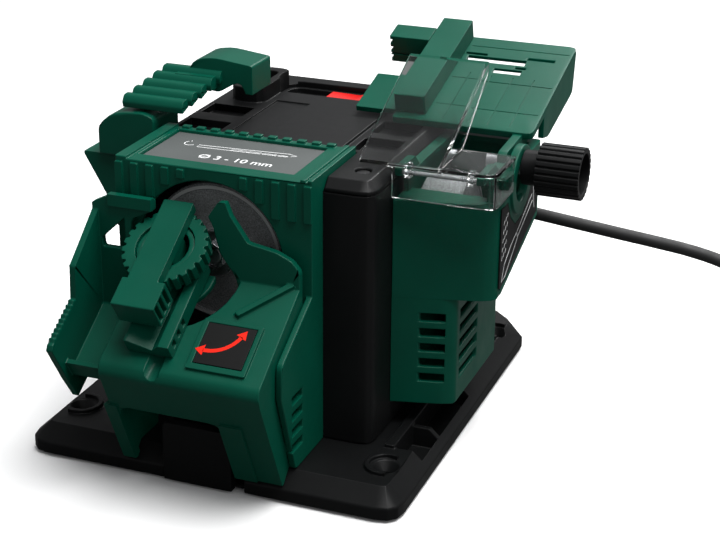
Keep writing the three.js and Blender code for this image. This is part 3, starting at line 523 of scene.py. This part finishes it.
# How widely each visible moulding's edges are rounded, in millimetres; the rest have PLAIN_WIDTH.
PLAIN_WIDTH = 0.35
WIDTHS = {
    "base_plate": 0.8, "motor_housing": 1.0, "top_cover": 0.7, "front_casing": 0.7,
    "drill_guide_body": 0.8, "right_station_body": 0.8, "chisel_table": 0.6, "fence_bar": 0.8,
    "fence_carriage": 0.5, "clear_guard": 0.5, "lock_knob": 0.5, "left_station_body": 1.0,
    "knife_guide_block": 1.2, "knife_guide_grip": 0.4, "drill_jaw_lower": 0.6,
    "drill_jaw_upper": 0.7, "clamp_ring": 0.5, "swarf_drawer": 0.7, "power_rocker": 0.8,
    "switch_body": 0.5, "strain_relief": 0.5, "drill_label_plate": 0.3, "swivel_label": 0.2,
    "station_label": 0.15,
}

for node, width in WIDTHS.items():
    refined(node, width, 3 if width > 0.6 else 2, CARVING.get(node, ()))

WHEELS = ("drill_wheel", "chisel_wheel", "knife_wheel")

for node in NODES:
    if not NODES[node].hide_render and node not in WHEELS:
        refined(node, PLAIN_WIDTH, material="dark_steel" if node.startswith("cover_screw") else None)


# ---- grinding wheels ------------------------------------------------------------------------

RECESS = 0.4        # how far the middle of a wheel's face lies below its rim
HIGHLIGHT_WIDTH = 1.6          # width of the painted highlight beside the rim, a lighter grey ring on the wheel's face
# how far the painted highlight ring stands off the wheel's face
HIGHLIGHT_THICK = 0.03


def wheel(node, axis, outer, bore, thickness, rim=1.2):
    """A bonded wheel with dressed, slightly rounded corners, a shallow recess round the bore and a
    lighter grey ring beside the rim as a painted highlight.
    """
    low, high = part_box(node)
    turn = Vector((0, 0, 1)).rotation_difference(Vector(axis)).to_matrix().to_4x4()
    place = Matrix.Translation((low + high) / 2) @ turn
    half = thickness / 2
    side = [
        (bore, half), (bore * 2.6, half), (bore * 2.8, half - RECESS),
        (outer - rim - 2.2, half - RECESS), (outer - rim - 1.8, half), (outer - rim, half),
        (outer - 0.25, half - rim * 0.7), (outer, half - rim * 1.5),
    ]
    profile = [(r, -h) for r, h in side] + side[::-1]
    piece = lathe(node + "_disc", profile, place, 128)
    finished(piece, BODY_OF[node], SLOT_OF[node], replaced=[node])
    # A painted highlight: a light grey ring on the face just inside the rim, in the rim material.
    inner = outer - rim - HIGHLIGHT_WIDTH
    highlight_band = [
        (inner, half), (outer - rim, half), (outer - rim, half + HIGHLIGHT_THICK),
        (inner, half + HIGHLIGHT_THICK)]
    face = Matrix.Rotation(math.pi, 4, "X") if node == "drill_wheel" else Matrix.Identity(4)
    ring = lathe(node + "_band", highlight_band, place @ face)
    finished(ring, BODY_OF[node], SLOT_OF[node], "rim")


wheel("drill_wheel", (0, 1, 0), 36, 5.3, 12)
wheel("chisel_wheel", (1, 0, 0), 30, 5.3, 21.5)
wheel("knife_wheel", (1, 0, 0), 22, 5.3, 12.6)


# ---- printed labels -------------------------------------------------------------------------

PRINT_THICK = 0.06


def ribbon(bm, points, width, matrix, closed=False):
    """A flat printed stroke along points (x, y) in mm, lying on the plane of the matrix."""
    points = [Vector((x, y)) for x, y in points]
    count = len(points)
    left, right = [], []
    for i, point in enumerate(points):
        before = points[(i - 1) % count] if closed or i else point
        after = points[(i + 1) % count] if closed or i < count - 1 else point
        along = (after - before).normalized()
        side = Vector((-along.y, along.x)) * width / 2
        for row, place in ((left, point + side), (right, point - side)):
            row.append([
                bm.verts.new(matrix @ (Vector((place.x, place.y, h)) * MM))
                for h in (0, PRINT_THICK)])
    last = count if closed else count - 1
    for i in range(last):
        j = (i + 1) % count
        bm.faces.new((left[i][1], right[i][1], right[j][1], left[j][1]))
        bm.faces.new((left[i][0], left[j][0], right[j][0], right[i][0]))
        bm.faces.new((left[i][0], left[i][1], left[j][1], left[j][0]))
        bm.faces.new((right[i][0], right[j][0], right[j][1], right[i][1]))
    if not closed:
        bm.faces.new((left[0][0], right[0][0], right[0][1], left[0][1]))
        bm.faces.new((left[-1][0], left[-1][1], right[-1][1], right[-1][0]))


def filled(bm, points, matrix):
    """A flat printed area."""
    low = [bm.verts.new(matrix @ (Vector((x, y, 0)) * MM)) for x, y in points]
    high = [bm.verts.new(matrix @ (Vector((x, y, PRINT_THICK)) * MM)) for x, y in points]
    bm.faces.new(high)
    bm.faces.new(low[::-1])
    for i in range(len(points)):
        j = (i + 1) % len(points)
        bm.faces.new((low[i], low[j], high[j], high[i]))


def printed(name, build, body, material, slot):
    """A piece of print, whose strokes and areas come from build."""
    bm = bmesh.new()
    build(bm)
    bmesh.ops.recalc_face_normals(bm, faces=bm.faces)
    mesh = bpy.data.meshes.new(name)
    bm.to_mesh(mesh)
    bm.free()
    return finished(new_object(name, mesh), body, slot, material)


def arc(cx, cy, radius, start, end, steps=16):
    """Points along an arc, with its angles in degrees."""
    return [
        (cx + radius * math.cos(math.radians(start + (end - start) * k / steps)),
         cy + radius * math.sin(math.radians(start + (end - start) * k / steps)))
        for k in range(steps + 1)]


LABEL_PLATE = plane(-11.4, 61.5, 157.02)


def drill_picture(bm):
    """The outline of a twist drill with its flutes, and an arrow round its shank."""
    outline = [(-22, 2.6), (-6, 3.1), (26, 4.6), (31, 7.4), (26.5, 9.2), (-6, 6.6), (-22, 5.6)]
    ribbon(bm, outline, 0.55, LABEL_PLATE, True)
    for k in range(4):
        x = -4 + 8.2 * k
        wave = [
            (x + 1.7 * i, 3.4 + 0.1 * k + 0.62 * i + 0.9 * math.sin(i * 1.05)) for i in range(6)]
        ribbon(bm, wave, 0.5, LABEL_PLATE)
    ribbon(bm, arc(-27.5, 6.4, 3.0, 100, 330), 0.5, LABEL_PLATE)
    ribbon(bm, [(-28.6, 10.6), (-28.0, 9.3), (-29.4, 8.9)], 0.5, LABEL_PLATE)


def lettering(name, text, size, matrix, body, material, slot):
    """Generic size marks, as thin solid print."""
    curve = bpy.data.curves.new(name, "FONT")
    curve.body = text
    curve.size = size * MM
    curve.align_x = "CENTER"
    curve.extrude = PRINT_THICK * MM / 2
    curve.offset = 0.00008
    carrier = new_object(name + "_curve", curve)
    carrier.matrix_world = matrix
    bpy.context.view_layer.update()
    graph = bpy.context.evaluated_depsgraph_get()
    mesh = bpy.data.meshes.new_from_object(carrier.evaluated_get(graph))
    mesh.transform(matrix)
    bpy.data.objects.remove(carrier)
    bm = bmesh.new()
    bm.from_mesh(mesh)
    bmesh.ops.remove_doubles(bm, verts=bm.verts, dist=0.000001)
    bm.to_mesh(mesh)
    bm.free()
    return finished(new_object(name, mesh), body, slot, material)


printed("drill_picture", drill_picture, BODY_OF["drill_label_plate"], "print_white", "label_grey")
lettering("drill_sizes", "\u00d8 3 - 10 mm", 7.6, plane(-6, 49.2, 157.04), BODY_OF["drill_label_plate"],
          "print_white", "label_grey")

SWIVEL_FACE = SLOPE @ Matrix.Translation(Vector((15.65, -35.0, 1.71)) * MM)


def swivel_arrow(bm):
    """A curved arrow with a head at both ends, for the drill holder's swing."""
    bow = arc(-8.8, 12.2, 16.4, -95, -21, 20)
    ribbon(bm, bow, 2.0, SWIVEL_FACE)
    for end, lead in ((bow[0], bow[2]), (bow[-1], bow[-3])):
        tip, base = Vector(end), Vector(lead)
        out = (tip - base).normalized()
        side = Vector((-out.y, out.x))
        head = [tip + out * 4.0, tip + side * 3.0 - out * 0.6, tip - side * 3.0 - out * 0.6]
        filled(bm, [(p.x, p.y) for p in head], SWIVEL_FACE)


printed("swivel_arrow", swivel_arrow, BODY_OF["swivel_label"], "print_red", "label_black")

# The right station's outer face, with its own x to the back and its own y up.
STATION_FACE = Matrix.Translation(at(121.52, 0, 0)) @ Matrix((
    (0, 0, 1, 0), (1, 0, 0, 0), (0, 1, 0, 0), (0, 0, 0, 1)))


def chisel_picture(bm):
    """A chisel's outline with its blade up and to the back, sparks over its handle, and its width."""
    handle = [(91, 96.5), (97, 97.5), (112, 107), (118, 111), (115.5, 114.5), (106, 111), (95, 104.5)]
    blade = [(118, 111.5), (144.5, 122.5), (143, 126.5), (116.5, 114.8)]
    ribbon(bm, handle, 0.7, STATION_FACE, True)
    ribbon(bm, blade, 0.7, STATION_FACE, True)
    ribbon(bm, [(148, 117.5), (144.6, 131)], 0.6, STATION_FACE)
    for k in range(5):
        for i in range(3):
            y, z = 89.6 + 2.9 * i + 0.5 * k, 108.5 + 4.6 * k + 1.2 * i
            ribbon(bm, [(y, z), (y + 1.3, z + 2.0)], 0.6, STATION_FACE)


printed("chisel_picture", chisel_picture, BODY_OF["station_label"], "print_white", "label_black")


# ---- floor and light ------------------------------------------------------------------------

def floor():
    """A white floor to the camera, and a dim one to the light that would bounce off it."""
    bm = bmesh.new()
    bmesh.ops.create_grid(bm, x_segments=1, y_segments=1, size=6)
    mesh = bpy.data.meshes.new("floor")
    bm.to_mesh(mesh)
    bm.free()
    piece = new_object("floor", mesh)
    n = Nodes("floor")
    n.feed("Base Color", n.ramp(n.noise(3.0), (0.93, 0.93, 0.93), (0.95, 0.95, 0.95)))
    n.fix("Roughness", 0.6)
    dim = n.add("ShaderNodeBsdfDiffuse", Color=(0.12, 0.12, 0.12, 1))
    seen = n.add("ShaderNodeMixShader", {"Fac": n.add("ShaderNodeLightPath").outputs["Is Camera Ray"]})
    n.tree.links.new(dim.outputs["BSDF"], seen.inputs[1])
    n.tree.links.new(n.shader.outputs["BSDF"], seen.inputs[2])
    n.tree.links.new(seen.outputs["Shader"], n.tree.nodes["Material Output"].inputs["Surface"])
    mesh.materials.append(n.material)


def area_light(name, place, target, size, power):
    """A round lamp at place that points at target."""
    data = bpy.data.lights.new(name, "AREA")
    data.shape = "DISK"
    data.size = size
    data.energy = power
    light = new_object(name, data)
    direction = Vector(target) - Vector(place)
    light.rotation_euler = direction.to_track_quat("-Z", "Y").to_euler()
    light.location = place


floor()
area_light("key", (0.4, -0.1, 1.45), (0, 0, 0.08), 1.1, 30)
area_light("fill", (1.3, -0.8, 0.8), (0, 0, 0.08), 1.2, 3)
area_light("rim", (0.2, 1.2, 1.3), (0, 0, 0.1), 0.9, 20)

world = bpy.data.worlds.new("studio")
world.use_nodes = True
background = world.node_tree.nodes["Background"]
background.inputs["Color"].default_value = (0.97, 0.98, 1.0, 1)
background.inputs["Strength"].default_value = 0.3
bpy.context.scene.world = world
bpy.context.scene.view_settings.view_transform = "Standard"
